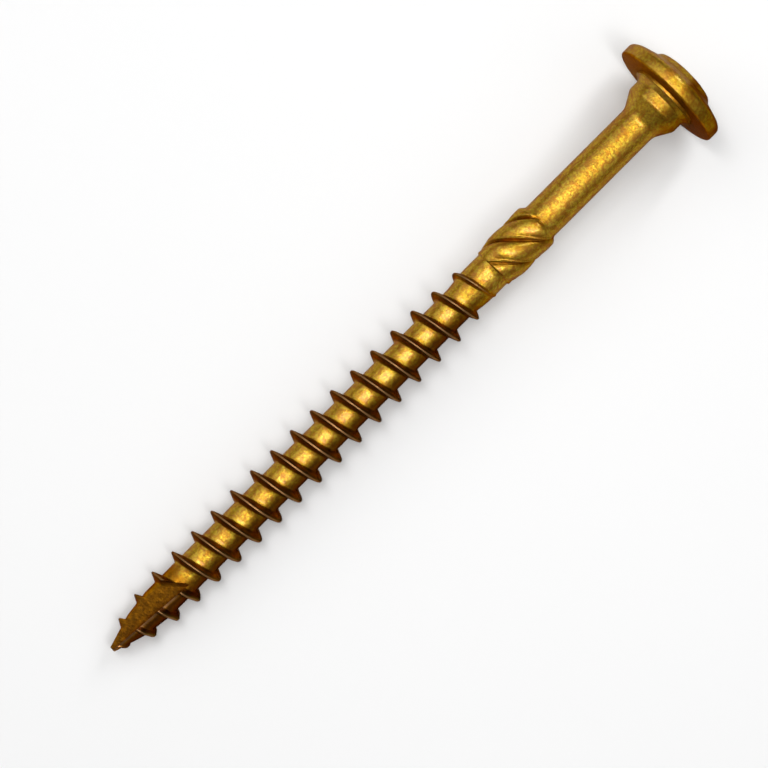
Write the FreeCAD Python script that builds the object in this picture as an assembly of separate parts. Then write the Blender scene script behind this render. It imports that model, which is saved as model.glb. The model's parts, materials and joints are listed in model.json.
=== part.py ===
import FreeCAD, Part
import math
import os
from FreeCAD import Vector

# A construction screw for timber: one piece of plated steel, nominally 3/8 in by 6 in.
# It is worked out along its own axis, with the tip at x = 0 and the head at the far end, and is
# then laid on the ground as it comes to rest, on the rim of its flange and one thread crest.
# All sizes are in millimetres.

# Overall sizes
overall_length = 152.4
head_height = 5.6

# Thread
thread_diameter = 10.9
root_diameter = 6.6
thread_pitch = 5.31
thread_start = 0.6
thread_length = 98.6
first_crest_at_side = 4.92
flank_angle = 25.0
tooth_sink = 0.35
points_per_turn = 16

# Cutting waves in the crest of the first turns
wave_end = 22.0
wave_fade = 4.5
waves_per_turn = 7
wave_depth = 0.30
points_per_wave = 5

# Tip
tip_radius = 0.55
tip_flat_radius = 0.40
tip_slope = 0.31
tip_cone_share = 0.78
tip_blend_length = 5.6

# Neck between the thread and the head
neck_diameter = 7.6
neck_rise_length = 5.8
neck_rise_before_end = 7.2

# Reamer ribs on the neck, past the end of the thread
reamer_gap = 2.4
reamer_length = 12.9
reamer_groove_height = 0.18
reamer_rib_height = 0.70
reamer_lead = 24.05
reamer_ribs = 4
reamer_groove_at_side = 1.5
reamer_run_in = 3.8
reamer_run_out = 1.5
reamer_sink = 0.15
reamer_steps = 14

# Outline of one rib: share of the way from groove to groove, and share of the rib's height
reamer_lobe = ((0.0, 0.0), (0.16, 0.75), (0.38, 1.0), (0.62, 1.0), (0.84, 0.75))

# Collar under the head
collar_diameter = 11.5
collar_length = 3.55
collar_cone_length = 3.4
collar_flare = 0.8
collar_ring_overhang = 1.2
collar_ring_height = 0.6

# Flanged head
flange_diameter = 23.2
flange_rim_height = 2.25
flange_edge_chamfer = 0.25
flange_top_chamfer = 0.7
dome_diameter = 13.8
dome_height = 1.2
dome_flat_diameter = 10.2

# Six-lobe drive recess
drive_outer_diameter = 8.83
drive_inner_diameter = 6.43
drive_depth = 4.6
drive_lobes = 6
drive_lobe_round = 0.74
drive_lobe_half_angle = 58.0
drive_mouth_chamfer = 0.25

# Cutting notch at the tip
notch_start = 0.85
notch_end = 19.4
notch_floor_rise = 0.165
notch_floor_tilt = 0.16
notch_skew = 0.56
notch_wall_slope = 0.075
notch_wall_offset = 0.19
notch_end_radius = 4.0

# Height of the thread along the screw: distance from the tip, and share of the full height
thread_height_stations = (
    (thread_start, -0.08),
    (thread_start + 1.6, 0.23),
    (thread_start + 4.0, 0.56),
    (thread_start + 8.9, 0.60),
    (thread_start + 14.9, 0.85),
    (thread_start + 22.9, 0.85),
    (thread_start + 35.4, 1.00),
    (thread_length - 36.6, 1.00),
    (thread_length - 10.6, 0.90),
    (thread_length - 3.6, 0.52),
    (thread_length, -0.04),
)

# Places and radii worked out from the sizes above
bearing_face = overall_length - head_height
collar_start = bearing_face - collar_length
thread_height = (thread_diameter - root_diameter) / 2
thread_turns = (thread_length - thread_start) / thread_pitch
root = root_diameter / 2
neck = neck_diameter / 2
flange = flange_diameter / 2
tip_cone_radius = tip_cone_share * root
tip_cone_length = (tip_cone_radius - tip_radius) / tip_slope
tip_length = tip_cone_length + tip_blend_length
neck_rise_start = thread_length - neck_rise_before_end
reamer_start = thread_length + reamer_gap
rim_edge = bearing_face + flange_edge_chamfer


def ease(t):
    """A smooth step from 0 to 1."""
    t = min(max(t, 0.0), 1.0)
    return t * t * (3.0 - 2.0 * t)


def axial(x, radius, angle):
    """A point at a distance from the tip, a radius and an angle round the axis."""
    return Vector(x, radius * math.cos(angle), radius * math.sin(angle))


def uniform_spline(points):
    """A spline through the points, with one unit of parameter from each to the next."""
    curve = Part.BSplineCurve()
    curve.interpolate(Points=points, Parameters=[float(i) for i in range(len(points))])
    return curve


def spline_patch(rows):
    """A surface through a grid of points, whose edges match those of its neighbours."""
    along = [uniform_spline(row) for row in rows]
    count = len(along[0].getPoles())
    across = [uniform_spline([curve.getPole(i + 1) for curve in along]) for i in range(count)]
    surface = Part.BSplineSurface()
    surface.buildFromPolesMultsKnots(
        [curve.getPoles() for curve in across],
        along[0].getMultiplicities(),
        across[0].getMultiplicities(),
        along[0].getKnots(),
        across[0].getKnots(),
        False,
        False,
        along[0].Degree,
        across[0].Degree,
    )
    return surface.toShape()


def closed_solid(faces):
    """A solid from the faces of its closed skin."""
    shell = Part.makeShell(faces)
    shell.sewShape()
    solid = Part.makeSolid(Part.Shell(shell.Faces))
    if solid.Volume < 0:
        solid.reverse()
    return solid


# The core: a turned body with the tip, the root of the thread, the neck, the collar and the head


def root_radius(x):
    """Radius of the core at a distance from the tip, below the head."""
    if x < tip_cone_length:
        return tip_radius + tip_slope * x
    if x < tip_length:
        return tip_cone_radius + (root - tip_cone_radius) * (x - tip_cone_length) / tip_blend_length
    return root + (neck - root) * min(max((x - neck_rise_start) / neck_rise_length, 0.0), 1.0)


def core():
    """The half outline of the turned body, revolved round the axis."""
    tip_round = tip_radius - tip_flat_radius
    collar = collar_diameter / 2
    ring = collar + collar_ring_overhang
    ring_low = bearing_face - collar_ring_height
    top_x = bearing_face + flange_rim_height + flange_top_chamfer
    dome = dome_diameter / 2
    dome_flat = dome_flat_diameter / 2
    span = dome - dome_flat
    dome_round = (dome_height**2 + span**2) / (2 * dome_height)
    half = math.asin(span / dome_round) / 2

    outline = [
        (overall_length, 0),
        (overall_length, dome_flat),
        (overall_length - dome_round * (1 - math.cos(half)), dome_flat + dome_round * math.sin(half)),
        (overall_length - dome_height, dome),
        (top_x, flange - flange_top_chamfer),
        (bearing_face + flange_rim_height, flange),
        (rim_edge, flange),
        (bearing_face, flange - flange_edge_chamfer),
        (bearing_face, ring),
        (ring_low, ring),
        (ring_low, collar + collar_flare),
        (ring_low - collar_flare, collar),
        (collar_start, collar),
        (collar_start - collar_cone_length, neck),
        (neck_rise_start + neck_rise_length, neck),
        (neck_rise_start, root),
        (tip_length, root),
        (tip_cone_length, tip_cone_radius),
        (tip_round, root_radius(tip_round)),
        (0, tip_flat_radius),
        (0, 0),
        (overall_length, 0),
    ]
    wire = Part.makePolygon([Vector(x, radius, 0) for x, radius in outline])
    return Part.Face(wire).revolve(Vector(0, 0, 0), Vector(1, 0, 0), 360)


# The thread: a tooth wound round the core turn by turn, whose height follows the stations


def thread_share(x):
    """Share of the full thread height at a distance from the tip."""
    stations = thread_height_stations
    for (x0, share0), (x1, share1) in zip(stations, stations[1:]):
        if x <= x1:
            return share0 + (share1 - share0) * (x - x0) / (x1 - x0)
    return stations[-1][1]


def wave(x, turn):
    """How far the crest dips below its full height where the cutting waves are."""
    fade = ease((wave_end - x) / wave_fade)
    dip = 0.5 - 0.5 * math.cos(2 * math.pi * waves_per_turn * turn)
    return wave_depth * fade * thread_share(x) * dip**2


def crest_point(turn):
    """Distance from the tip, crest radius and angle after so many turns from the thread's start."""
    x = thread_start + thread_pitch * turn
    radius = root_radius(x) + thread_height * thread_share(x) - wave(x, turn)
    angle = 2 * math.pi * (x - first_crest_at_side) / thread_pitch
    return x, radius, angle


def thread_turn(first, last):
    """A stretch of the tooth: bands between helical edges, and a face at each end."""
    waved = thread_start + thread_pitch * first < wave_end
    points = points_per_wave * waves_per_turn if waved else points_per_turn
    steps = max(3, int(math.ceil((last - first) * points)))
    slope = math.tan(math.radians(flank_angle))
    edges = [[], [], []]
    for i in range(steps + 1):
        x, crest, angle = crest_point(first + (last - first) * i / steps)
        base = root_radius(x) - tooth_sink
        half_base = (crest - base) * slope
        edges[0].append(axial(x - half_base, base, angle))
        edges[1].append(axial(x, crest, angle))
        edges[2].append(axial(x + half_base, base, angle))
    bands = [spline_patch([edges[i - 1], edges[i]]) for i in range(3)]
    ends = []
    for at in (0, -1):
        corners = [points[at] for points in edges]
        ends.append(Part.Face(Part.makePolygon(corners + corners[:1])))
    return closed_solid(bands + ends)


def threaded(body):
    """The body with the thread joined to it, one turn after another."""
    for n in range(int(math.ceil(thread_turns))):
        body = body.fuse(thread_turn(n, min(n + 1, thread_turns)))
    return body


# The reamer: ribs wound steeply round the neck


def reamer():
    """A twisted body with one lobe to each rib, stepped at its start and sunk in the neck at its end."""
    body = reamer_sink + reamer_groove_height
    edges = []
    for n in range(reamer_ribs):
        for share, height in reamer_lobe:
            edge = []
            for i in range(reamer_steps + 1):
                along = reamer_length * i / reamer_steps
                fade = ease((reamer_length - along) / reamer_run_out)
                rise = fade * (1 + 2 * ease(along / reamer_run_in)) / 3
                radius = neck - reamer_sink + body * fade + reamer_rib_height * height * rise
                turned = (along - reamer_groove_at_side) / reamer_lead + (n + share) / reamer_ribs
                edge.append(axial(reamer_start + along, radius, 2 * math.pi * turned))
            edges.append(edge)
    bands = [spline_patch([edges[i - 1], edges[i]]) for i in range(len(edges))]
    ends = []
    for at in (0, -1):
        corners = [edge[at] for edge in edges]
        ends.append(Part.Face(Part.makePolygon(corners + corners[:1])))
    return closed_solid(bands + ends)


# The cuts: the notch at the tip and the drive recess


def notch_cutter():
    """A milled gash: a flat floor that climbs and curves out of the core, beside a flat wall."""
    reach = thread_diameter
    radius = notch_end_radius
    rise = math.atan(notch_floor_rise)
    turn_x = notch_end - radius
    # the profile stands in the plane of the wall: along the screw, and out towards the notch's open side
    floor_start = -reach

    def at(x, out):
        y = -notch_wall_offset - notch_wall_slope * (x - notch_start)
        return Vector(x, y, out + notch_floor_tilt * y)

    def floor(x):
        return (x - notch_start) * notch_floor_rise

    arc_middle_angle = (math.pi / 2 + rise) / 2
    centre = (turn_x, floor(turn_x) + radius / math.cos(rise))
    foot = (turn_x + radius * math.sin(rise), centre[1] - radius * math.cos(rise))
    middle = (
        centre[0] + radius * math.sin(arc_middle_angle),
        centre[1] - radius * math.cos(arc_middle_angle),
    )
    top = (turn_x + radius, centre[1])
    outline = [
        Part.makeLine(at(floor_start, floor(floor_start)), at(*foot)),
        Part.Arc(at(*foot), at(*middle), at(*top)).toShape(),
        Part.makeLine(at(*top), at(top[0], reach)),
        Part.makeLine(at(top[0], reach), at(floor_start, reach)),
        Part.makeLine(at(floor_start, reach), at(floor_start, floor(floor_start))),
    ]
    away = Vector(-notch_skew, 1, notch_floor_tilt)
    return Part.Face(Part.Wire(outline)).extrude(reach * away)


def drive_recess():
    """A star of rounded lobes and hollows, sunk in the head with a chamfered mouth."""
    outer = drive_outer_diameter / 2
    inner = drive_inner_diameter / 2
    step = 2 * math.pi / drive_lobes
    half = math.radians(drive_lobe_half_angle)

    def star(x):
        # each lobe is an arc round its own centre, and each hollow an arc between two lobes
        centre = outer - drive_lobe_round
        edges = []
        for n in range(drive_lobes):
            angle = n * step
            ends = []
            for turn in (-half, 0, half):
                y = centre + drive_lobe_round * math.cos(turn)
                z = drive_lobe_round * math.sin(turn)
                radius = math.hypot(y, z)
                ends.append(axial(x, radius, angle + math.atan2(z, y)))
            edges.append(ends)
        wire = []
        for n in range(drive_lobes):
            start, crown, end = edges[n]
            wire.append(Part.Arc(start, crown, end).toShape())
            hollow = axial(x, inner, (n + 0.5) * step)
            wire.append(Part.Arc(end, hollow, edges[(n + 1) % drive_lobes][0]).toShape())
        return Part.Wire(wire)

    floor = overall_length - drive_depth
    body = Part.Face(star(floor)).extrude(Vector(drive_depth + 1, 0, 0))
    chamfer = drive_mouth_chamfer
    mouth = Part.makeCone(
        outer - chamfer,
        outer + chamfer,
        2 * chamfer,
        Vector(overall_length - chamfer, 0, 0),
        Vector(1, 0, 0),
    )
    return body.fuse(mouth)


# The rest: how far the screw leans when its flange and its thread lie on the ground


def rest_slope():
    """Slope of the ground under the axis, from the flange's rim to the crest that touches."""
    steps = 400 * int(math.ceil(thread_turns))
    slopes = []
    for i in range(steps):
        x, crest, angle = crest_point(thread_turns * i / steps)
        slopes.append((flange + crest * math.sin(angle)) / (rim_edge - x))
    return min(slopes)


def laid_down(shape):
    """The screw on the ground, with the origin under the middle of its box."""
    slope = math.atan(rest_slope())
    shape.rotate(Vector(0, 0, 0), Vector(0, -1, 0), math.degrees(slope))
    lowest = rim_edge * math.sin(slope) - flange * math.cos(slope)
    box = shape.BoundBox
    shape.translate(Vector(-(box.XMin + box.XMax) / 2, 0, -lowest))
    return shape


screw = threaded(core())
screw = screw.fuse(reamer())
screw = screw.cut(notch_cutter())
screw = screw.cut(drive_recess())
screw = laid_down(screw.Solids[0])

os.makedirs("parts", exist_ok=True)
screw.exportStep("parts/construction_screw.step")
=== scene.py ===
import json
import math

import bmesh
import bpy
from bpy.props import FloatProperty, FloatVectorProperty, IntProperty, PointerProperty
from mathutils import Matrix, Vector


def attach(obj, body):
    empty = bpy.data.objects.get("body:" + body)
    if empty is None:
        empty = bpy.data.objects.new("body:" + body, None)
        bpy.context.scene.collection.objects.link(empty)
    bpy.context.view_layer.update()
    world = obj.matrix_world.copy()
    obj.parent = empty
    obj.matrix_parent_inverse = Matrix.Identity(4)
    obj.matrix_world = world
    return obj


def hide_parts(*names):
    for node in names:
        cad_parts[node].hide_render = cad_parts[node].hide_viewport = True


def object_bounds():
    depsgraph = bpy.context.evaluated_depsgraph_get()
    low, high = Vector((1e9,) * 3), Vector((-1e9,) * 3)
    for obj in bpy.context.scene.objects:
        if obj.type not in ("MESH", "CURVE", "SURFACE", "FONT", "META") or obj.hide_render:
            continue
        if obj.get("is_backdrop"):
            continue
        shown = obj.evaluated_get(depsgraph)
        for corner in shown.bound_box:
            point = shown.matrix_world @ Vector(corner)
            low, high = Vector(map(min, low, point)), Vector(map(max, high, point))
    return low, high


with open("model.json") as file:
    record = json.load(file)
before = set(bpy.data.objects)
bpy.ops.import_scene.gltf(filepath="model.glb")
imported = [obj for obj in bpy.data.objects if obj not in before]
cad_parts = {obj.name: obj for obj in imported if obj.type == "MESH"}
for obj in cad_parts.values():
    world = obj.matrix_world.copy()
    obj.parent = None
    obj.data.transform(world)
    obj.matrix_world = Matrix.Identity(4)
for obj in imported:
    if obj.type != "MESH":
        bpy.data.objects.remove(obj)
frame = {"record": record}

bl_info = {
    "name": "Construction Screw",
    "version": (1, 0, 0),
    "blender": (4, 5, 0),
    "location": "View3D > Sidebar > Screw",
    "description": "A flanged timber screw with a waved thread, its plated finish and a plain stage",
    "category": "Object",
}

MM = 0.001
SAME_PLACE = 1e-6  # points closer than this, in metres, are one
HARDLY = 0.0001  # a smaller share of the ribs' height counts as none
SHARP_ANGLE = math.radians(42)

# The screw's axis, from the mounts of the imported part: the drive recess is at the head's end.
MOUNTS = {mount["name"]: mount for mount in frame["record"]["mounts"]}
HEAD_END = Vector(MOUNTS["drive_recess"]["pos_m"])
AXIS = Vector(MOUNTS["drive_recess"]["axis"]).normalized()
LEAN = math.atan2(AXIS.z, AXIS.x)

# Height of the thread along the screw: millimetres from the tip, and share of the full height
THREAD_HEIGHT = (
    (0.0, -0.20),
    (0.6, -0.08),
    (2.2, 0.23),
    (4.6, 0.56),
    (9.5, 0.60),
    (15.5, 0.85),
    (23.5, 0.85),
    (36.0, 1.00),
    (62.0, 1.00),
    (88.0, 0.90),
    (95.0, 0.52),
    (98.6, -0.04),
    (104.0, -0.20),
)
TURNS_BEFORE = 2  # turns of the skin's rows before the first crest

# Half the outline of a full tooth: millimetres from the crest's line, and share of the height
TOOTH = (
    (0.12, 1.0),
    (0.18, 0.975),
    (0.25, 0.91),
    (0.36, 0.78),
    (0.48, 0.62),
    (0.60, 0.46),
    (0.71, 0.31),
    (0.81, 0.17),
    (0.90, 0.07),
    (0.99, 0.02),
    (1.10, 0.0),
)
BETWEEN_TEETH = 1.9

# A low tooth's width: its share of the full height to this power, and at least this share
WIDTH_POWER = 0.35
NARROWEST_TOOTH = 0.3

# Height of a reamer rib from one groove to the next: share of the way, and share of the height
RIB = (
    (0.0, 0.0),
    (0.04, 0.05),
    (0.09, 0.40),
    (0.15, 0.66),
    (0.24, 0.86),
    (0.37, 0.97),
    (0.52, 1.0),
    (0.66, 0.95),
    (0.77, 0.83),
    (0.835, 0.68),
    (0.87, 0.66),
    (0.905, 0.86),
    (0.94, 0.76),
    (0.97, 0.25),
    (1.0, 0.0),
)
RIBS = 4
RIB_START_PARTS = 3.0  # a rib starts at one part in this many of its height
CROWDING = 0.6  # how closely the skin's columns crowd at a groove

# How the finish's marks fade from the crest down, and from a rib down into its groove
CREST_POWER = 12.0
FLANK_POWER = 0.8
GROOVE_POWER = 1.5
RISEN_RATE = 3.0  # a tooth counts as risen once it has its full height over this

# How dull the plating is, and how far painted shade darkens it, from 0 to 1: between the teeth
# near the tip, in the grooves between the ribs, in the notch and the recess, and under the flange
DULL_SHADE_TIP = 0.45
DULL_SHADE_GROOVE = 0.55
DULL_SHADE_CUT = 0.55
DULL_SHADE_UNDERSIDE = 0.4

# The head's details, in millimetres: places from the tip, and heights from the bearing face or
# down from the top
SHANK_END = 139.0
CONE_START = 139.85
CONE_END = 143.25
RING_HEIGHT = 0.6
RING_WIDTH = 1.2
FLANGE_WALL = 2.45
FLANGE_THICKNESS = 3.0
FLANGE_INSIDE = 0.02  # how far the skin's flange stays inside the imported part's
DOME_HEIGHT = 1.2
DOME_CROWN = 0.33
FLAT_RADIUS = 5.0

# The notch's floor, which climbs along the screw and tilts across it, and its wall, which leaves
# the axis with the distance from the tip
NOTCH_CLIMB = 0.15
NOTCH_TILT = -0.04
NOTCH_SPREAD = 0.075

# Patches in the plating: colour, size in millimetres, detail, distortion, the value of the noise
# where a patch starts and where it is full, and how far it covers there
PATCHES = (
    ("green_gold", 2.6, 3.0, 0.6, 0.42, 0.60, 1.0),
    ("rose", 1.5, 4.0, 0.8, 0.49, 0.62, 0.85),
    ("rose", 0.5, 3.0, 0.0, 0.40, 0.60, 0.75),
)

# Where the finish changes with a mark: the mark's value where the change starts and where it is
# full, and how far it goes at each. The olive is painted shade on the steep flanks, and the tint
# at a slant darkens their reflections as painted shade
STREAKED = (0.08, 0.5, 0.0, 0.92)
OLIVE_SHADE = (0.62, 0.92, 0.0, 0.9)
DULL_SHADE_AT_A_SLANT = (0.1, 0.6, 0.0, 1.0)
RUBBED = (0.4, 0.95, 0.0, 0.85)

# Where it changes along the screw: millimetres from the tip where the change starts and ends, and
# how far it goes at each
SHADE_ALONG_THREAD = (90.2, 98.2, 1.0, 0.2)
SHADE_ALONG_COLLAR = (137.2, 143.2, 0.0, 0.6)
DARK_LIP = (18.2, 22.2, 1.0, 0.0)
LIP_HIGHLIGHT = (15.2, 16.7, 0.8, 0.0)
LIP_END = 20.2

# Where it changes across the screw: millimetres where the change starts and where it is full, in
# Y for the side with painted shade, up from the tip's middle, and then past the line of the notch's
# lip
SHADE_ACROSS_SIDE = (-0.1, -1.5)
RAGGED = 1.6  # size and reach of the tongues along the edge of the side's painted shade
UPPER_SIDE = (-1.1, -0.1)
DARK_PAST_LIP = (-0.32, -0.75)
LIP_OUTSIDE = (0.06, 0.0)
LIP_INSIDE = (-0.48, -0.30)

# Lamps: name, place and sides in metres, the setting that holds its power, and its share of it
LAMPS = (
    ("main_lamp", (-0.02, 0.0, 0.62), (0.60, 0.10), "main_lamp", 1.0),
    ("side_lamp", (-0.10, 0.45, 0.50), (0.60, 0.60), "side_lamp", 1.0),
    ("far_lamp", (0.10, -0.45, 0.50), (0.60, 0.60), "fill_lamp", 1.0),
    ("end_lamp", (0.42, 0.04, 0.40), (0.10, 0.40), "fill_lamp", 1.6),
)
LAMPS_AIM = (0, 0, 0.01)
FLOOR_HALF = 3.0  # half the floor's side, in metres
FLOOR_CLOUDS = 6.0  # clouds in a metre

# The camera's place and aim, in millimetres along the screw from its tip, beside it and above it
CAMERA_PLACE = (70.43, -0.8, 452.4)
CAMERA_AIM = (71.36, -0.8, 0.0)
CAMERA_LENS = 112.88
SENSOR_WIDTH = 36.0


def length(name, description, millimetres):
    """A length that the user may change, given in millimetres."""
    return FloatProperty(
        name=name, description=description, default=millimetres * MM, unit="LENGTH", precision=5
    )


def colour(name, description, value):
    """A colour that the user may change."""
    return FloatVectorProperty(
        name=name, description=description, default=value, size=3, min=0, max=1, subtype="COLOR"
    )


class ScrewSizes(bpy.types.PropertyGroup):
    overall_length: length("Overall Length", "From the tip to the top of the head", 152.4)
    head_height: length("Head Height", "From the bearing face to the top of the head", 5.6)
    thread_diameter: length("Thread Diameter", "Over the crests", 10.9)
    root_diameter: length("Root Diameter", "Between the teeth", 6.6)
    thread_pitch: length("Pitch", "From one crest to the next", 5.31)
    thread_start: length("Thread Start", "Where the thread rises, from the tip", 0.6)
    first_crest: length("First Crest", "Where the crest crosses the far side, from the tip", 4.92)
    skin_start: length("Skin Start", "Where the threaded skin begins", 0.35)
    skin_end: length("Skin End", "Where the threaded skin ends, past the thread", 99.6)
    wave_end: length("Wave End", "Where the cutting waves have faded out", 22.0)
    wave_fade: length("Wave Fade", "Length over which the waves fade", 4.5)
    wave_depth: length("Wave Depth", "Depth of a wave at full thread height", 0.30)
    waves_per_turn: FloatProperty(
        name="Waves per Turn", description="Cutting waves in one turn of the crest", default=7.0
    )
    tip_radius: length("Tip Radius", "Radius of the cone at the tip", 0.55)
    tip_slope: FloatProperty(
        name="Tip Slope", description="Radius that the cone gains with its length", default=0.31
    )
    tip_cone_length: length("Tip Cone Length", "From the tip to the end of the cone", 6.529)
    tip_length: length("Tip Length", "From the tip to the full root", 12.129)
    neck_diameter: length("Neck Diameter", "Of the plain neck", 7.6)
    neck_rise_start: length("Neck Rise Start", "Where the root widens to the neck", 91.4)
    neck_rise_length: length("Neck Rise Length", "Length of the widening", 5.8)
    reamer_start: length("Reamer Start", "Where the ribs begin", 101.0)
    reamer_length: length("Reamer Length", "Length of the ribs", 12.9)
    reamer_lead: length("Reamer Lead", "Length in which a rib turns once", 24.05)
    reamer_phase: length("Reamer Phase", "Where a groove crosses the far side, past the start", 1.5)
    groove_height: length("Groove Height", "How far a groove's floor stands above the neck", 0.10)
    rib_height: length("Rib Height", "From a groove's floor to the top of a rib", 0.78)
    reamer_foot: length("Reamer Foot", "Length of the step at the start of the ribs", 0.25)
    reamer_run_in: length("Reamer Run In", "Length over which a rib grows to its height", 3.8)
    reamer_run_out: length("Reamer Run Out", "Length of the step at the end of the ribs", 1.5)
    collar_diameter: length("Collar Diameter", "Of the cylinder under the flange", 11.5)
    flange_diameter: length("Flange Diameter", "Of the head's flange", 23.2)
    dome_diameter: length("Dome Diameter", "Of the dome on the flange", 13.8)
    drive_outer_diameter: length("Drive Diameter", "Over the lobes of the recess", 8.83)
    drive_inner_diameter: length("Drive Inner Diameter", "Between the lobes' hollows", 6.43)
    drive_depth: length("Drive Depth", "Of the recess", 4.6)
    notch_start: length("Notch Start", "Where the notch's floor meets the axis, from the tip", 0.85)
    notch_end: length("Notch End", "Where the notch runs out, from the tip", 20.4)
    notch_end_radius: length("Notch End Radius", "Of the cutter that made the run-out", 2.4)
    notch_wall_offset: length("Notch Wall Offset", "From the axis to the wall, at its start", 0.19)
    notch_skew: FloatProperty(
        name="Notch Skew",
        description="How far the cut leans back to the tip with its width",
        default=0.95,
    )
    columns: IntProperty(name="Columns", description="Faces in one turn round the axis", default=128)


class ScrewFinish(bpy.types.PropertyGroup):
    gold: colour("Gold", "Main colour of the plating", (0.46, 0.285, 0.014))
    green_gold: colour("Green Gold", "Thin patches of the plating", (0.48, 0.32, 0.022))
    rose: colour("Rose", "Thick patches of the plating", (0.32, 0.125, 0.006))
    # the dull colour is partly dull plating and partly painted shade on the flanks, in the grooves
    # and cuts and under the flange
    dull: colour("Dull", "Unpolished plating on the flanks and in the cuts", (0.36, 0.135, 0.007))
    # the crest colour also paints the highlight along the notch's lip
    crest: colour("Crest", "Plating rubbed bright on the thread's crest", (0.26, 0.13, 0.055))
    # painted shade: dark olive on the steep flanks near the crest
    olive_shade: colour("Olive", "Thin plating near the thread's crest", (0.125, 0.082, 0.020))
    # painted shade on one side of the thread and collar and past the notch's lip, and the colour of
    # the dull plating's streaks
    shade_brown: colour("Brown", "Thick plating along one side of the thread", (0.085, 0.027, 0.005))
    # the dark tints at a slant below are a painted darkening of the reflections at the edges
    gold_edge: colour("Gold Edge", "Tint of gold plating seen at a slant", (0.38, 0.255, 0.07))
    dull_shade_edge: colour("Dull Edge", "Tint of dull plating seen at a slant", (0.26, 0.175, 0.085))
    shade_brown_edge: colour("Brown Edge", "Tint of brown plating seen at a slant", (0.10, 0.05, 0.022))
    gloss: FloatProperty(
        name="Gloss", description="Clear gloss on the clean plating", default=0.13, subtype="FACTOR"
    )
    roughness: FloatProperty(
        name="Roughness", description="Mean roughness of the plating", default=0.39, subtype="FACTOR"
    )
    pit_depth: length("Pit Depth", "Depth of the fine pits in the plating", 0.036)
    grain_depth: length("Grain Depth", "Depth of the broader grain in the plating", 0.096)


class StageSettings(bpy.types.PropertyGroup):
    floor: colour("Floor", "Colour of the floor", (0.81, 0.81, 0.81))
    main_lamp: FloatProperty(
        name="Main Lamp", description="Power of the broad lamp overhead", default=2.5, unit="POWER"
    )
    side_lamp: FloatProperty(
        name="Side Lamp", description="Power of the lamp beside the thread", default=1.4, unit="POWER"
    )
    fill_lamp: FloatProperty(
        name="Fill Lamp",
        description="Power of the lamp that fills the shade; the lamp past the head has more",
        default=0.6,
        unit="POWER",
    )
    sky: FloatProperty(name="Sky", description="Strength of the even light", default=0.20)


def tip_place(sizes):
    """Where the middle of the tip lies."""
    return HEAD_END - AXIS * sizes.overall_length


class Nodes:
    """A node tree that is being built, with the steps that shapes and finishes share."""

    def __init__(self, tree):
        self.tree = tree

    def add(self, kind, inputs=None, **settings):
        """A node with these settings, and with its inputs given by name or number."""
        node = self.tree.nodes.new(kind)
        for name, value in settings.items():
            setattr(node, name, value)
        for name, value in (inputs or {}).items():
            self.put(node.inputs[name], value)
        return node

    def put(self, socket, value):
        """Links an output to the socket, or gives the socket a value or a colour."""
        if isinstance(value, bpy.types.NodeSocket):
            self.tree.links.new(value, socket)
        elif socket.type == "RGBA":
            socket.default_value = (*value, 1.0)
        else:
            socket.default_value = value

    def calc(self, operation, *values):
        """One step of arithmetic on fields or numbers."""
        node = self.add("ShaderNodeMath", operation=operation)
        for socket, value in zip(node.inputs, values):
            self.put(socket, value)
        return node.outputs[0]

    def plus(self, a, b):
        return self.calc("ADD", a, b)

    def less(self, a, b):
        return self.calc("SUBTRACT", a, b)

    def times(self, a, b):
        return self.calc("MULTIPLY", a, b)

    def over(self, a, b):
        return self.calc("DIVIDE", a, b)

    def most(self, a, b):
        return self.calc("MAXIMUM", a, b)

    def least(self, a, b):
        return self.calc("MINIMUM", a, b)

    def power(self, value, exponent):
        return self.calc("POWER", value, exponent)

    def clamp(self, value, low, high):
        return self.least(self.most(value, low), high)

    def ease(self, value):
        """A smooth step from 0 to 1."""
        t = self.clamp(value, 0.0, 1.0)
        return self.times(self.times(t, t), self.less(3.0, self.times(2.0, t)))


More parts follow.
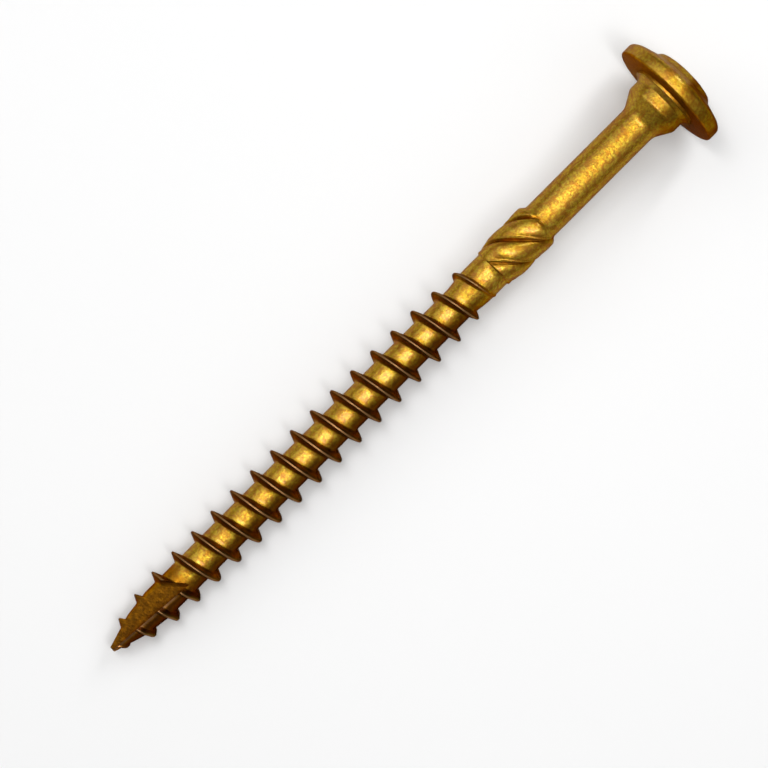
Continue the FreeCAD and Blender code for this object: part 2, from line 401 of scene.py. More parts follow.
class Shape(Nodes):
    """A geometry node tree that is being built."""

    def __init__(self, name):
        super().__init__(bpy.data.node_groups.new(name, "GeometryNodeTree"))
        self.given = self.add("NodeGroupInput")

    def takes(self, name, kind):
        """A named input of the tree."""
        self.tree.interface.new_socket(name, in_out="INPUT", socket_type="NodeSocket" + kind)
        return self.given.outputs[name]

    def gives(self, geometry):
        """The tree's result."""
        self.tree.interface.new_socket("Geometry", in_out="OUTPUT", socket_type="NodeSocketGeometry")
        self.put(self.add("NodeGroupOutput").inputs["Geometry"], geometry)
        return self.tree

    def curve(self, value, points):
        """A value read off the straight runs through these points, given from 0 to 1."""
        node = self.add("ShaderNodeFloatCurve", {"Value": value})
        node.mapping.use_clip = False
        line = node.mapping.curves[0].points
        while len(line) < len(points):
            line.new(0.5, 0.5)
        for place, (x, y) in zip(line, points):
            place.location = (x, y)
            place.handle_type = "VECTOR"
        node.mapping.update()
        return node.outputs[0]

    def table(self, index, values):
        """The value with this index in a list."""
        node = self.add("GeometryNodeIndexSwitch", data_type="FLOAT")
        while len(node.index_switch_items) < len(values):
            node.index_switch_items.new()
        for socket, value in zip(node.inputs, (index, *values)):
            self.put(socket, value)
        return node.outputs[0]

    def sheet(self, columns, rows):
        """A sheet of faces, with the fields that number its columns and rows from 0."""
        counts = {"Vertices X": self.plus(columns, 1), "Vertices Y": self.plus(rows, 1)}
        grid = self.add("GeometryNodeMeshGrid", {"Size X": 1.0, "Size Y": 1.0, **counts})
        place = self.add("ShaderNodeSeparateXYZ", {0: self.position()})
        column = self.calc("ROUND", self.times(self.plus(place.outputs[0], 0.5), columns))
        row = self.calc("ROUND", self.times(self.plus(place.outputs[1], 0.5), rows))
        return grid.outputs["Mesh"], column, row

    def position(self):
        """Where each point is."""
        return self.add("GeometryNodeInputPosition").outputs[0]

    def round_axis(self, mesh, along, radius, angle):
        """Moves the mesh's points to these distances, radii and angles about the X axis."""
        y = self.times(radius, self.calc("COSINE", angle))
        z = self.times(radius, self.calc("SINE", angle))
        place = self.add("ShaderNodeCombineXYZ", {"X": along, "Y": y, "Z": z}).outputs[0]
        inputs = {"Geometry": mesh, "Position": place}
        return self.add("GeometryNodeSetPosition", inputs).outputs[0]

    def mark(self, mesh, name, value):
        """Keeps a number for each point under a name that the finish reads."""
        inputs = {"Geometry": mesh, "Name": name, "Value": value}
        kind = "GeometryNodeStoreNamedAttribute"
        return self.add(kind, inputs, data_type="FLOAT", domain="POINT").outputs[0]

    def marked(self, name):
        """The number that each point keeps under this name."""
        kind = "GeometryNodeInputNamedAttribute"
        return self.add(kind, {"Name": name}, data_type="FLOAT").outputs["Attribute"]


def tooth_rows(pitch):
    """The rows of one turn of the skin: offset, share of the gap between teeth, and height."""
    foot = TOOTH[-1][0]
    side = [*TOOTH, (BETWEEN_TEETH, 0.0)]
    half = pitch / MM / 2
    rows = [(-half, 0.0)] + [(-off, share) for off, share in reversed(side)] + [(0.0, 1.0)] + side
    offsets = [off * MM for off, share in rows]
    gaps = [math.copysign(max(abs(off) - foot, 0.0) / (half - foot), off) for off, share in rows]
    return offsets, gaps, [share for off, share in rows]


def thread_tree(sizes):
    """The threaded skin: rows of faces that follow the helix from the tip to past the thread."""
    t = Shape("Threaded Skin")
    columns = t.takes("Columns", "Int")
    turns = t.takes("Turns", "Int")
    names = (
        "Thread Diameter",
        "Root Diameter",
        "Pitch",
        "Thread Start",
        "First Crest",
        "Skin Start",
        "Skin End",
        "Wave End",
        "Wave Fade",
        "Wave Depth",
        "Waves per Turn",
        "Tip Radius",
        "Tip Slope",
        "Tip Cone Length",
        "Tip Length",
        "Neck Diameter",
        "Neck Rise Start",
        "Neck Rise Length",
    )
    size = {name: t.takes(name, "Float") for name in names}
    pitch = size["Pitch"]
    offsets, gaps, heights = tooth_rows(sizes.thread_pitch)
    per_turn = len(offsets)

    mesh, column, row = t.sheet(columns, t.times(turns, per_turn))
    turn = t.calc("FLOOR", t.over(row, per_turn))
    in_turn = t.less(row, t.times(turn, per_turn))
    share_round = t.over(column, columns)

    # where the crest that this row belongs to passes this column, and how high it stands there
    turn_round = t.plus(t.less(turn, TURNS_BEFORE), share_round)
    crest_x = t.plus(size["First Crest"], t.times(pitch, turn_round))
    last = THREAD_HEIGHT[-1][0]
    share = t.curve(t.over(crest_x, last * MM), [(x / last, y) for x, y in THREAD_HEIGHT])
    share = t.most(share, 0.0)

    # the cutting waves in the first turns: squared, so that they are narrow dips in the crest
    turned = t.over(t.less(crest_x, size["Thread Start"]), pitch)
    swing = t.calc("COSINE", t.times(t.times(turned, size["Waves per Turn"]), math.tau))
    dip = t.power(t.less(0.5, t.times(0.5, swing)), 2.0)
    fade = t.ease(t.over(t.less(size["Wave End"], crest_x), size["Wave Fade"]))
    wave = t.times(t.times(size["Wave Depth"], fade), t.times(share, dip))
    full = t.over(t.less(size["Thread Diameter"], size["Root Diameter"]), 2.0)
    height = t.most(t.less(t.times(full, share), wave), 0.0)

    # a low tooth is narrower than a full one, but not as much as it is lower
    width = t.most(t.power(share, WIDTH_POWER), NARROWEST_TOOTH)
    gap = t.times(t.table(in_turn, gaps), t.times(t.less(1.0, width), t.over(pitch, 2.0)))
    offset = t.plus(t.times(t.table(in_turn, offsets), width), gap)
    along = t.clamp(t.plus(crest_x, offset), size["Skin Start"], size["Skin End"])

    # the core under the tooth: the tip's cone, its blend to the root, and the rise to the neck
    root = t.over(size["Root Diameter"], 2.0)
    neck = t.over(size["Neck Diameter"], 2.0)
    cone = t.plus(size["Tip Radius"], t.times(size["Tip Slope"], along))
    cone_end = t.plus(size["Tip Radius"], t.times(size["Tip Slope"], size["Tip Cone Length"]))
    past_cone = t.less(along, size["Tip Cone Length"])
    blend = t.over(past_cone, t.less(size["Tip Length"], size["Tip Cone Length"]))
    blended = t.plus(cone_end, t.times(t.less(root, cone_end), t.clamp(blend, 0.0, 1.0)))
    tip = t.least(cone, blended)
    rise = t.ease(t.over(t.less(along, size["Neck Rise Start"]), size["Neck Rise Length"]))
    core = t.plus(tip, t.times(rise, t.less(neck, root)))
    tooth = t.table(in_turn, heights)
    radius = t.plus(core, t.times(height, tooth))

    # marks for the finish: the rubbed crest, where the tooth has risen, and the dull flanks, where
    # the colour also darkens as painted shade
    risen = t.clamp(t.times(share, RISEN_RATE), 0.0, 1.0)
    mesh = t.mark(mesh, "crest", t.times(t.power(tooth, CREST_POWER), risen))
    near_tip = t.ease(t.over(t.less(size["Wave End"], along), size["Wave Fade"]))
    flank = t.times(t.power(tooth, FLANK_POWER), risen)
    mesh = t.mark(mesh, "dull", t.most(flank, t.times(DULL_SHADE_TIP, near_tip)))
    return t.gives(t.round_axis(mesh, along, radius, t.times(share_round, math.tau)))


def turned_tree():
    """A turned skin: an outline's points carried round the axis, with reamer ribs where they are."""
    t = Shape("Turned Skin")
    outline = t.takes("Outline", "Geometry")
    first = t.takes("First Point", "Int")
    points = t.takes("Points", "Int")
    columns = t.takes("Columns", "Int")
    names = (
        "Neck Diameter",
        "Reamer Start",
        "Reamer Length",
        "Reamer Lead",
        "Reamer Phase",
        "Groove Height",
        "Rib Height",
        "Reamer Foot",
        "Reamer Run In",
        "Reamer Run Out",
    )
    size = {name: t.takes(name, "Float") for name in names}
    mesh, column, row = t.sheet(columns, t.less(points, 1))
    point = t.plus(row, first)

    def at_point(value, kind):
        inputs = {"Geometry": outline, "Value": value, "Index": point}
        return t.add("GeometryNodeSampleIndex", inputs, data_type=kind, domain="POINT").outputs[0]

    place = t.add("ShaderNodeSeparateXYZ", {0: at_point(t.position(), "FLOAT_VECTOR")})
    along, plain = place.outputs[0], place.outputs[1]

    # how far the ribs stand up here: a steep foot, a slow run-in and a step at the end
    past = t.clamp(t.less(along, size["Reamer Start"]), 0.0, size["Reamer Length"])
    left = t.less(size["Reamer Length"], past)
    foot = t.ease(t.least(t.over(past, size["Reamer Foot"]), t.over(left, size["Reamer Run Out"])))
    grown = t.ease(t.over(past, size["Reamer Run In"]))
    run_in = t.plus(1.0, t.times(RIB_START_PARTS - 1.0, grown))
    rise = t.over(t.times(foot, run_in), RIB_START_PARTS)

    # the columns follow the ribs, and crowd together at the grooves
    share_round = t.over(column, columns)
    phase = t.over(size["Reamer Phase"], size["Reamer Lead"])
    rib_share = t.calc("FRACT", t.times(RIBS, t.plus(share_round, phase)))
    swing = t.calc("SINE", t.times(rib_share, math.tau))
    crowd = t.times(swing, CROWDING / (2 * RIBS * math.pi))
    share = t.calc("FRACT", t.plus(rib_share, t.times(-RIBS, crowd)))
    turned = t.over(past, size["Reamer Lead"])
    moved = t.times(crowd, foot)
    angle = t.times(math.tau, t.less(t.plus(share_round, turned), moved))

    rib = t.curve(share, RIB)
    above_groove = t.times(size["Rib Height"], t.times(rib, rise))
    above_neck = t.plus(t.times(size["Groove Height"], foot), above_groove)
    ribbed = t.plus(t.over(size["Neck Diameter"], 2.0), above_neck)
    has_ribs = t.calc("GREATER_THAN", foot, HARDLY)
    radius = t.plus(plain, t.times(has_ribs, t.less(ribbed, plain)))

    mesh = t.mark(mesh, "crest", 0.0)
    # the grooves between the ribs are marked dull, which also paints shade in them
    groove = t.times(has_ribs, t.power(t.less(1.0, rib), GROOVE_POWER))
    dull = t.most(at_point(t.marked("dull"), "FLOAT"), t.times(DULL_SHADE_GROOVE, groove))
    mesh = t.mark(mesh, "dull", dull)
    return t.gives(t.round_axis(mesh, along, radius, angle))


def input_names(tree, *kinds):
    """The names of a tree's inputs of these kinds."""
    sockets = [socket for socket in tree.interface.items_tree if socket.in_out == "INPUT"]
    return [s.name for s in sockets if s.socket_type.removeprefix("NodeSocket") in kinds]


def screw_tree(sizes, counts):
    """The whole screw: the skins joined, the notch and the recess cut, and laid where it rests."""
    t = Shape("Construction Screw")
    outline = t.takes("Outline", "Geometry")
    size = {name: t.takes(name, "Int") for name in ("Columns", "Turns")}
    thread, turned = thread_tree(sizes), turned_tree()
    for name in input_names(thread, "Float") + input_names(turned, "Float"):
        if name not in size:
            size[name] = t.takes(name, "Float")
    cutters = [t.takes(name, "Object") for name in ("Notch Cutter", "Recess Cutter")]
    lean = t.takes("Lean", "Float")
    tip = t.takes("Tip Place", "Vector")
    material = t.takes("Finish", "Material")

    def skin(tree, values):
        given = {name: size[name] for name in input_names(tree, "Float", "Int") if name in size}
        return t.add("GeometryNodeGroup", {**given, **values}, node_tree=tree).outputs[0]

    join = t.add("GeometryNodeJoinGeometry", {0: skin(thread, {})})
    first = 0
    for count in counts:
        values = {"Outline": outline, "First Point": first, "Points": count}
        t.put(join.inputs[0], skin(turned, values))
        first += count
    inputs = {"Geometry": join.outputs[0], "Distance": SAME_PLACE}
    body = t.add("GeometryNodeMergeByDistance", inputs).outputs[0]

    # the cutters are taken away one by one, and what lies on them afterwards is freshly cut
    cut = t.add("GeometryNodeMeshBoolean", {"Mesh 1": body}, operation="DIFFERENCE", solver="EXACT")
    both = t.add("GeometryNodeJoinGeometry")
    for cutter in cutters:
        shape = t.add("GeometryNodeObjectInfo", {"Object": cutter}).outputs["Geometry"]
        t.put(both.inputs[0], shape)
        t.put(cut.inputs["Mesh 2"], shape)
    near = t.add("GeometryNodeProximity", {0: both.outputs[0]}, target_element="FACES")
    # the freshly cut faces are marked dull, which also paints shade on them
    fresh = t.calc("LESS_THAN", near.outputs["Distance"], 2 * SAME_PLACE)
    kept = t.times(t.marked("dull"), t.less(1.0, fresh))
    body = t.mark(cut.outputs["Mesh"], "dull", t.plus(t.times(DULL_SHADE_CUT, fresh), kept))

    turn = t.add("ShaderNodeCombineXYZ", {"Y": t.times(lean, -1.0)}).outputs[0]
    inputs = {"Geometry": body, "Rotation": turn, "Translation": tip}
    laid = t.add("GeometryNodeTransform", inputs).outputs[0]
    real = t.add("GeometryNodeRealizeInstances", {"Geometry": laid}).outputs[0]
    inputs = {"Geometry": real, "Material": material}
    return t.gives(t.add("GeometryNodeSetMaterial", inputs).outputs[0])


def rounded(corners):
    """An outline through corners (x, radius, rounding), each rounded by an arc of that radius."""
    steps = 5
    points = []
    for n, (x, r, rounding) in enumerate(corners):
        here = Vector((x, r))
        if rounding == 0 or n in (0, len(corners) - 1):
            points.append(here)
            continue
        back = (Vector(corners[n - 1][:2]) - here).normalized()
        ahead = (Vector(corners[n + 1][:2]) - here).normalized()
        half = math.acos(max(-1.0, min(1.0, back.dot(ahead)))) / 2
        reach = rounding / math.tan(half)
        centre = here + (back + ahead).normalized() * (rounding / math.sin(half))
        start, end = here + back * reach - centre, here + ahead * reach - centre
        sweep = start.angle_signed(end)
        points += [centre + Matrix.Rotation(-sweep * i / steps, 2) @ start for i in range(steps + 1)]
    return points


def tip_outline(sizes):
    """The outline of the blunt tip, in millimetres, up to where the threaded skin begins."""
    start = sizes.skin_start / MM
    radius = (sizes.tip_radius + sizes.tip_slope * sizes.skin_start) / MM
    taper, rounding = 0.06, 0.24
    return rounded([(0, 0, 0), (0, radius - taper, rounding), (start, radius, 0)])


def head_outline(sizes):
    """The outline of the neck, the ribs' stretch, the shank and the head, in millimetres."""
    neck = sizes.neck_diameter / MM / 2
    collar = sizes.collar_diameter / MM / 2
    flange = sizes.flange_diameter / MM / 2 - FLANGE_INSIDE
    dome = sizes.dome_diameter / MM / 2
    top = sizes.overall_length / MM
    bearing = top - sizes.head_height / MM

    # the ribs need many rows of points: close ones on their foot, and even ones past it
    foot_rows, rib_rows, shank_rows = 4, 48, 8
    reamer = sizes.reamer_start / MM
    reamer_end = reamer + sizes.reamer_length / MM
    foot = sizes.reamer_foot / MM
    left = reamer_end - reamer - foot
    rows = [reamer + foot * i / foot_rows for i in range(foot_rows)]
    rows += [reamer + foot + left * i / rib_rows for i in range(rib_rows + 1)]
    shank = SHANK_END - reamer_end
    rows += [reamer_end + shank * i / shank_rows for i in range(1, shank_rows)]

    ring = collar + RING_WIDTH
    ring_face = bearing - RING_HEIGHT
    ring_foot, ring_slant = 0.8, 0.4
    edge_bevel, brow = 0.8, 0.72
    return rounded(
        [(x, neck, 0) for x in (sizes.skin_end / MM, *rows)]
        + [
            (CONE_START, neck, 3.0),
            (CONE_END, collar, 1.2),
            (ring_face - ring_foot, collar, 0.5),
            (ring_face, ring - ring_slant, 0.12),
            (ring_face, ring, 0.08),
            (bearing, ring, 0.08),
            (bearing, flange, 0.4),
            (bearing + FLANGE_WALL, flange, 1.0),
            (bearing + FLANGE_THICKNESS, flange - edge_bevel, 0.6),
            (top - DOME_HEIGHT, dome, 0.5),
            (top - DOME_CROWN, dome - brow, 0.9),
            (top, FLAT_RADIUS, 0.8),
            (top, 0, 0),
        ]
    )


def notch_cutter(sizes):
    """The body that cuts the notch: a floor that climbs and curves out, beside a flat wall."""
    start, end = sizes.notch_start / MM, sizes.notch_end / MM
    radius = sizes.notch_end_radius / MM
    reach = 11.0
    steps = 14
    rise = math.atan(NOTCH_CLIMB)
    turn_x = end - radius
    centre = Vector((turn_x, (turn_x - start) * NOTCH_CLIMB + radius / math.cos(rise)))
    outline = [Vector((-reach, (-reach - start) * NOTCH_CLIMB))]
    for i in range(steps + 1):
        angle = rise + (math.pi / 2 - rise) * i / steps
        outline.append(centre + radius * Vector((math.sin(angle), -math.cos(angle))))
    outline += [Vector((end, reach)), Vector((-reach, reach))]
    near, far = [], []
    for x, out in outline:
        y = -sizes.notch_wall_offset / MM - NOTCH_SPREAD * (x - start)
        far_x, far_y = x - sizes.notch_skew * reach, y + reach
        near.append(Vector((x, y, out + NOTCH_TILT * y)) * MM)
        far.append(Vector((far_x, far_y, out + NOTCH_TILT * far_y)) * MM)
    return prism("notch_cutter", near, far)


def recess_star(outer, inner):
    """The outline of the six-lobe recess: radii and angles of its points, in metres and radians."""
    lobes, lobe_radius, lobe_half = 6, 0.74 * MM, math.radians(58)
    lobe_steps, hollow_steps = 4, 3
    step = math.tau / lobes
    centre = outer - lobe_radius

    # a hollow is an arc from lobe to lobe, whose deepest place is on the inner circle
    end_y, end_z = centre + lobe_radius * math.cos(lobe_half), lobe_radius * math.sin(lobe_half)
    end = Vector((end_y, end_z))
    to_hollow = step / 2 - math.atan2(end.y, end.x)
    across = 2 * end.length * math.sin(to_hollow)
    sag = end.length * math.cos(to_hollow) - inner
    bow = (across**2 / 4 + sag**2) / (2 * sag)
    bow_half = math.asin(across / 2 / bow)

    star = []
    for n in range(lobes):
        for i in range(-lobe_steps, lobe_steps + 1):
            turn = lobe_half * i / lobe_steps
            y, z = centre + lobe_radius * math.cos(turn), lobe_radius * math.sin(turn)
            star.append((math.hypot(y, z), n * step + math.atan2(z, y)))
        for i in range(1 - hollow_steps, hollow_steps):
            turn = bow_half * i / hollow_steps
            y, z = inner + bow * (1 - math.cos(turn)), bow * math.sin(turn)
            star.append((math.hypot(y, z), (n + 0.5) * step + math.atan2(z, y)))
    return star


def recess_cutter(sizes):
    """The body that cuts the drive recess: a star of six lobes with a chamfered mouth."""
    outer = sizes.drive_outer_diameter / 2
    top = sizes.overall_length
    floor = top - sizes.drive_depth
    star = recess_star(outer, sizes.drive_inner_diameter / 2)
    foot_height, foot_inset, above, bevel = 0.15 * MM, 0.12 * MM, 1 * MM, 0.25 * MM
    levels = ((floor, -foot_inset), (floor + foot_height, 0.0), (top + above, 0.0))
    rings = []
    for x, grow in levels:
        spots = [(r + grow, a) for r, a in star]
        rings.append([Vector((x, r * math.cos(a), r * math.sin(a))) for r, a in spots])
    body = prism("recess_cutter", *rings)
    mesh = bmesh.new()
    mesh.from_mesh(body.data)
    bmesh.ops.create_cone(
        mesh,
        cap_ends=True,
        segments=96,
        radius1=outer - bevel,
        radius2=outer + bevel,
        depth=2 * bevel,
        matrix=Matrix.Translation((top, 0, 0)) @ Matrix.Rotation(math.pi / 2, 4, "Y"),
    )
    mesh.to_mesh(body.data)
    mesh.free()
    return body


def shown(name, data):
    """A new object in the scene, with this mesh, lamp or camera."""
    body = bpy.data.objects.new(name, data)
    bpy.context.scene.collection.objects.link(body)
    return body


def prism(name, *rings):
    """A closed body through rings of points."""
    mesh = bmesh.new()
    loops = [[mesh.verts.new(point) for point in ring] for ring in rings]
    count = len(loops[0])
    for low, high in zip(loops, loops[1:]):
        for i in range(count):
            j = (i + 1) % count
            mesh.faces.new((low[i], low[j], high[j], high[i]))
    mesh.faces.new(list(reversed(loops[0])))
    mesh.faces.new(loops[-1])
    bmesh.ops.recalc_face_normals(mesh, faces=mesh.faces)
    data = bpy.data.meshes.new(name)
    mesh.to_mesh(data)
    mesh.free()
    return shown(name, data)


class Finish(Nodes):
    """A material's node tree that is being built, on the coordinates of the piece itself."""

    def __init__(self, name):
        self.material = bpy.data.materials.new(name)
        self.material.use_nodes = True
        super().__init__(self.material.node_tree)
        self.tree.nodes.clear()
        self.place = self.add("ShaderNodeTexCoord").outputs["Object"]

    def noise(self, size, detail, distortion=0.0):
        """Noise whose patches are about this many millimetres across."""
        inputs = {"Vector": self.place, "Scale": 1 / (size * MM)}
        inputs.update({"Detail": detail, "Distortion": distortion})
        return self.add("ShaderNodeTexNoise", inputs).outputs["Fac"]

    def spread(self, value, low, high, to_low=0.0, to_high=1.0):
        """The range from low to high spread over a new range, and level outside it."""
        inputs = {"Value": value, "From Min": low, "From Max": high}
        inputs.update({"To Min": to_low, "To Max": to_high})
        return self.add("ShaderNodeMapRange", inputs).outputs["Result"]

    def mix(self, share, first, second):
        """The first colour with a share of the second."""
        # a Mix node's colours are its inputs 6 and 7 and its output 2
        node = self.add("ShaderNodeMix", {0: share, 6: first, 7: second}, data_type="RGBA")
        return node.outputs[2]

    def marked(self, name):
        """The number that each point of the piece keeps under this name."""
        return self.add("ShaderNodeAttribute", attribute_name=name).outputs["Fac"]

    def raised(self, height, depth, **under):
        """The surface's direction with this relief, over the relief that is under it, if any."""
        inputs = {"Height": height, "Distance": depth, "Strength": 1.0, **under}
        return self.add("ShaderNodeBump", inputs).outputs["Normal"]

    def done(self, kind, inputs):
        """The material, with a shader of this kind as its surface."""
        surface = self.add(kind, inputs).outputs[0]
        self.add("ShaderNodeOutputMaterial", {"Surface": surface})
        return self.material


def painted_shade_and_highlight(paint, sizes):
    """Three shares for the finish: painted shade on one side, the darkest painted shade past the
    notch's lip, and a painted highlight along the lip.
    """
    tip = tip_place(sizes)
    spot = paint.add("ShaderNodeSeparateXYZ", {"Vector": paint.place}).outputs

    def along(start, end, at_start, at_end):
        """A share that changes between two distances from the tip, in millimetres."""
        return paint.spread(spot["X"], tip.x + start * MM, tip.x + end * MM, at_start, at_end)

    def across(distance, places, middle=0.0, full=1.0):
        """A share that grows between two places, in millimetres from the middle."""
        low, high = [middle + place * MM for place in places]
        return paint.spread(distance, low, high, 0.0, full)

    # painted shade: the thread's and the collar's side towards negative Y is painted brown, with a
    # ragged edge
    ragged = paint.plus(spot["Y"], paint.times(paint.noise(RAGGED, 3.0), RAGGED * MM))
    side = across(ragged, SHADE_ACROSS_SIDE, full=0.9)
    side = paint.times(side, paint.most(along(*SHADE_ALONG_THREAD), along(*SHADE_ALONG_COLLAR)))

    # a painted highlight along the notch's lower lip, and the darkest painted shade just past it,
    # both on the upper half only
    start = sizes.notch_start / MM
    wall = -sizes.notch_wall_offset
    lip_line = along(start, LIP_END, wall, wall - NOTCH_SPREAD * (LIP_END - start) * MM)
    past_lip = paint.less(spot["Y"], lip_line)
    upper = across(spot["Z"], UPPER_SIDE, middle=tip.z)
    darkest_shade = paint.times(upper, along(*DARK_LIP))
    darkest_shade = paint.times(darkest_shade, across(past_lip, DARK_PAST_LIP))
    strip = paint.times(across(past_lip, LIP_OUTSIDE), across(past_lip, LIP_INSIDE))
    lip_highlight = paint.times(paint.times(strip, upper), along(*LIP_HIGHLIGHT))
    return paint.most(side, darkest_shade), darkest_shade, lip_highlight


def plated_finish(finish, sizes):
    """Yellow zinc plating: gold with green and rose patches, fine pits, and rubbed crests, with
    painted shade on one side, on the flanks and in the cuts, and a painted highlight on the notch's
    lip.
    """
    paint = Finish("yellow_zinc_plating")
    base = finish.gold
    for name, size, detail, distortion, start, full, cover in PATCHES:
        patch = paint.spread(paint.noise(size, detail, distortion), start, full, 0.0, cover)
        base = paint.mix(patch, base, getattr(finish, name))
    shade_brown, darkest_shade, lip_highlight = painted_shade_and_highlight(paint, sizes)
    base = paint.mix(shade_brown, base, finish.shade_brown)

    # dull plating, darkened as painted shade, has brown streaks; the darkest painted shade covers it,
    # and near the crest it turns olive, also painted shade
    dull = paint.marked("dull")
    streak = paint.spread(paint.noise(0.9, 4.0, 0.5), 0.36, 0.64)
    streaks = paint.mix(streak, finish.shade_brown, finish.dull)
    streaks = paint.mix(0.35, streaks, finish.dull)
    base = paint.mix(paint.spread(dull, *STREAKED), base, streaks)
    base = paint.mix(paint.times(darkest_shade, 0.9), base, finish.shade_brown)
    base = paint.mix(paint.spread(dull, *OLIVE_SHADE), base, finish.olive_shade)
    # the rubbed crests and the painted highlight along the notch's lip take the crest colour
    rubbed_and_highlight = paint.most(paint.spread(paint.marked("crest"), *RUBBED), lip_highlight)
    base = paint.mix(rubbed_and_highlight, base, finish.crest)
    # a painted darkening of the reflections at the edges: dark tints at a slant, darkest on the
    # painted-shade side
    edge = paint.mix(paint.spread(dull, *DULL_SHADE_AT_A_SLANT), finish.gold_edge, finish.dull_shade_edge)
    edge = paint.mix(shade_brown, edge, finish.shade_brown_edge)

    # what stands between the pits is rougher than their floors
    pits = paint.noise(0.32, 5.0)
    smoothest, roughest = finish.roughness - 0.08, finish.roughness + 0.10
    relief = paint.raised(pits, finish.pit_depth)
    relief = paint.raised(paint.noise(1.1, 3.0), finish.grain_depth, Normal=relief)
    inputs = {
        "Base Color": base,
        "Metallic": 1.0,
        "Roughness": paint.spread(pits, 0.3, 0.7, smoothest, roughest),
        "Normal": relief,
        "Specular Tint": edge,
        "Coat Weight": paint.spread(paint.plus(shade_brown, dull), 0.0, 0.4, finish.gloss, 0.0),
        "Coat Roughness": 0.22,
        "Coat IOR": 2.0,
    }
    return paint.done("ShaderNodeBsdfPrincipled", inputs)


def outline_mesh(outlines, underside):
    """The outlines' points as a mesh without faces, marked dull, with painted shade, on the underside
    of the flange.
    """
    points = [point for outline in outlines for point in outline]
    line = bpy.data.meshes.new("construction_screw_skin")
    line.from_pydata([(x * MM, y * MM, 0) for x, y in points], [], [])
    near = 0.3
    dull = [DULL_SHADE_UNDERSIDE if abs(x - underside) < near else 0.0 for x, y in points]
    line.attributes.new("dull", "FLOAT", "POINT").data.foreach_set("value", dull)
    return line


def set_inputs(modifier, values, sizes):
    """Gives the modifier's inputs these values, and all others the sizes that have their names."""
    labels = {prop.name: key for key, prop in ScrewSizes.bl_rna.properties.items()}
    for socket in modifier.node_group.interface.items_tree:
        if socket.in_out == "INPUT" and socket.socket_type != "NodeSocketGeometry":
            if socket.name in values:
                modifier[socket.identifier] = values[socket.name]
            else:
                modifier[socket.identifier] = getattr(sizes, labels[socket.name])


def close_skin(mesh):
    """Turns the mesh's faces outwards, smooths it, and stops if it isn't closed."""
    work = bmesh.new()
    work.from_mesh(mesh)
    if work.calc_volume(signed=True) < 0:
        bmesh.ops.reverse_faces(work, faces=work.faces)
    open_edges = sum(1 for edge in work.edges if len(edge.link_faces) != 2)
    work.to_mesh(mesh)
    work.free()
    if open_edges:
        raise RuntimeError(f"the screw's skin has {open_edges} open edges")
    mesh.shade_smooth()
    mesh.set_sharp_from_angle(angle=SHARP_ANGLE)


class SCREW_OT_body(bpy.types.Operator):
    """Build the screw with its thread, ribs, notch and recess, and give it its plated finish"""

    bl_idname = "screw.body"
    bl_label = "Screw Body"

    def execute(self, context):
        sizes = context.scene.screw_sizes
        outlines = [tip_outline(sizes), head_outline(sizes)]
        underside = (sizes.overall_length - sizes.head_height) / MM
        screw = shown("construction_screw_skin", outline_mesh(outlines, underside))
        notch, recess = notch_cutter(sizes), recess_cutter(sizes)
        crests = math.ceil((sizes.skin_end - sizes.first_crest) / sizes.thread_pitch)
        values = {
            "Columns": sizes.columns,
            "Turns": TURNS_BEFORE + crests + 1,  # the last one reaches past the skin's end
            "Notch Cutter": notch,
            "Recess Cutter": recess,
            "Lean": LEAN,
            "Tip Place": tip_place(sizes),
            "Finish": plated_finish(context.scene.screw_finish, sizes),
        }
        modifier = screw.modifiers.new("Construction Screw", "NODES")
        modifier.node_group = screw_tree(sizes, [len(outline) for outline in outlines])
        set_inputs(modifier, values, sizes)
        screw.update_tag()
        context.view_layer.update()
        depsgraph = context.evaluated_depsgraph_get()
        mesh = bpy.data.meshes.new_from_object(screw.evaluated_get(depsgraph))
        screw.modifiers.clear()
        screw.data = mesh
        for cutter in (notch, recess):
            bpy.data.objects.remove(cutter)
        close_skin(mesh)
        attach(screw, "root")
        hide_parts("construction_screw")
        return {"FINISHED"}


def pale_floor(stage):
    """The floor, in a colour that clouds over very slightly."""
    work = bmesh.new()
    bmesh.ops.create_grid(work, x_segments=1, y_segments=1, size=FLOOR_HALF)
    data = bpy.data.meshes.new("floor")
    work.to_mesh(data)
    work.free()
    paint = Finish("pale_floor")
    inputs = {"Vector": paint.place, "Scale": FLOOR_CLOUDS}
    cloud = paint.add("ShaderNodeTexNoise", inputs).outputs["Fac"]
    paler = [min(1.0, value * 1.02) for value in stage.floor]
    inputs = {"Color": paint.mix(cloud, stage.floor, paler)}
    data.materials.append(paint.done("ShaderNodeBsdfDiffuse", inputs))
    return shown("floor", data)


def area_lamp(name, place, sides, power):
    """A rectangular soft lamp that faces the middle of the screw."""
    lamp = bpy.data.lights.new(name, "AREA")
    lamp.shape = "RECTANGLE"
    lamp.size, lamp.size_y = sides
    lamp.energy = power
    body = shown(name, lamp)
    body.location = place
    body.rotation_euler = (Vector(LAMPS_AIM) - Vector(place)).to_track_quat("-Z", "Y").to_euler()


def photo_camera(sizes):
    """The camera above the screw, turned so that the screw lies from corner to corner."""
    camera = bpy.data.cameras.new("camera")
    camera.lens = CAMERA_LENS
    camera.sensor_width = SENSOR_WIDTH
    camera.clip_start, camera.clip_end = 0.01, 10.0
    eye = shown("camera", camera)
    lay = Matrix.Translation(tip_place(sizes)) @ Matrix.Rotation(-LEAN, 4, "Y")
    look_from, look_at = [
        lay @ Vector([value * MM for value in place]) for place in (CAMERA_PLACE, CAMERA_AIM)
    ]
    back_way = (look_from - look_at).normalized()
    across = Vector((0, 1, 0))
    up = (AXIS + across).normalized()
    right = up.cross(back_way).normalized()
    up = back_way.cross(right)
    turn = Matrix((right, up, back_way)).transposed().to_4x4()
    eye.matrix_world = Matrix.Translation(look_from) @ turn
    return eye


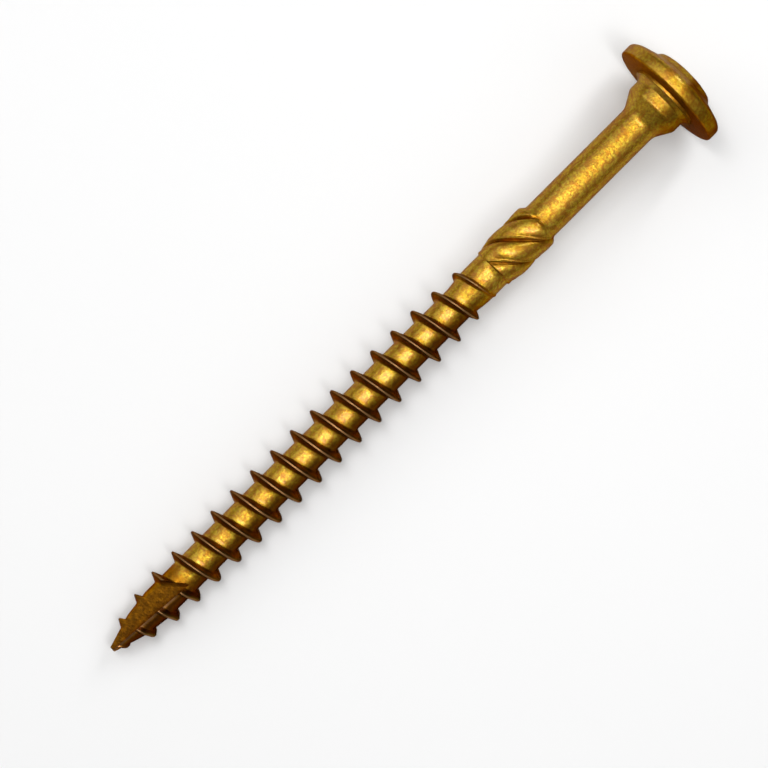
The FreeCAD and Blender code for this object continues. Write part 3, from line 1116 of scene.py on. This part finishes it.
class SCREW_OT_stage(bpy.types.Operator):
    """Build the pale floor, the soft lamps and the camera"""

    bl_idname = "screw.stage"
    bl_label = "Stage"

    def execute(self, context):
        scene = context.scene
        stage = scene.screw_stage
        floor = pale_floor(stage)
        floor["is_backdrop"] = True

        world = bpy.data.worlds.new("even_light")
        scene.world = world
        world.use_nodes = True
        sky = world.node_tree.nodes["Background"]
        sky.inputs["Color"].default_value = (1, 1, 1, 1)
        sky.inputs["Strength"].default_value = stage.sky
        for name, place, sides, setting, share in LAMPS:
            area_lamp(name, place, sides, share * getattr(stage, setting))
        scene.camera = photo_camera(scene.screw_sizes)
        scene.view_settings.view_transform = "Standard"
        return {"FINISHED"}


class SCREW_PT_panel(bpy.types.Panel):
    bl_label = "Construction Screw"
    bl_idname = "SCREW_PT_panel"
    bl_space_type = "VIEW_3D"
    bl_region_type = "UI"
    bl_category = "Screw"

    def draw(self, context):
        scene = context.scene
        for title, group in (
            ("Sizes", scene.screw_sizes),
            ("Finish", scene.screw_finish),
            ("Stage", scene.screw_stage),
        ):
            box = self.layout.box()
            box.label(text=title)
            for name in group.__annotations__:
                box.prop(group, name)
        self.layout.operator(SCREW_OT_body.bl_idname)
        self.layout.operator(SCREW_OT_stage.bl_idname)


CLASSES = (ScrewSizes, ScrewFinish, StageSettings, SCREW_OT_body, SCREW_OT_stage, SCREW_PT_panel)


def register():
    for cls in CLASSES:
        bpy.utils.register_class(cls)
    bpy.types.Scene.screw_sizes = PointerProperty(type=ScrewSizes)
    bpy.types.Scene.screw_finish = PointerProperty(type=ScrewFinish)
    bpy.types.Scene.screw_stage = PointerProperty(type=StageSettings)


def unregister():
    for name in ("screw_sizes", "screw_finish", "screw_stage"):
        delattr(bpy.types.Scene, name)
    for cls in reversed(CLASSES):
        bpy.utils.unregister_class(cls)


def corners():
    """The box of what is shown, as plain lists."""
    return [list(corner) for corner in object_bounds()]


def main():
    register()
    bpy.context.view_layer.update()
    bpy.ops.screw.body()
    bpy.ops.screw.stage()


if __name__ == "__main__":
    main()
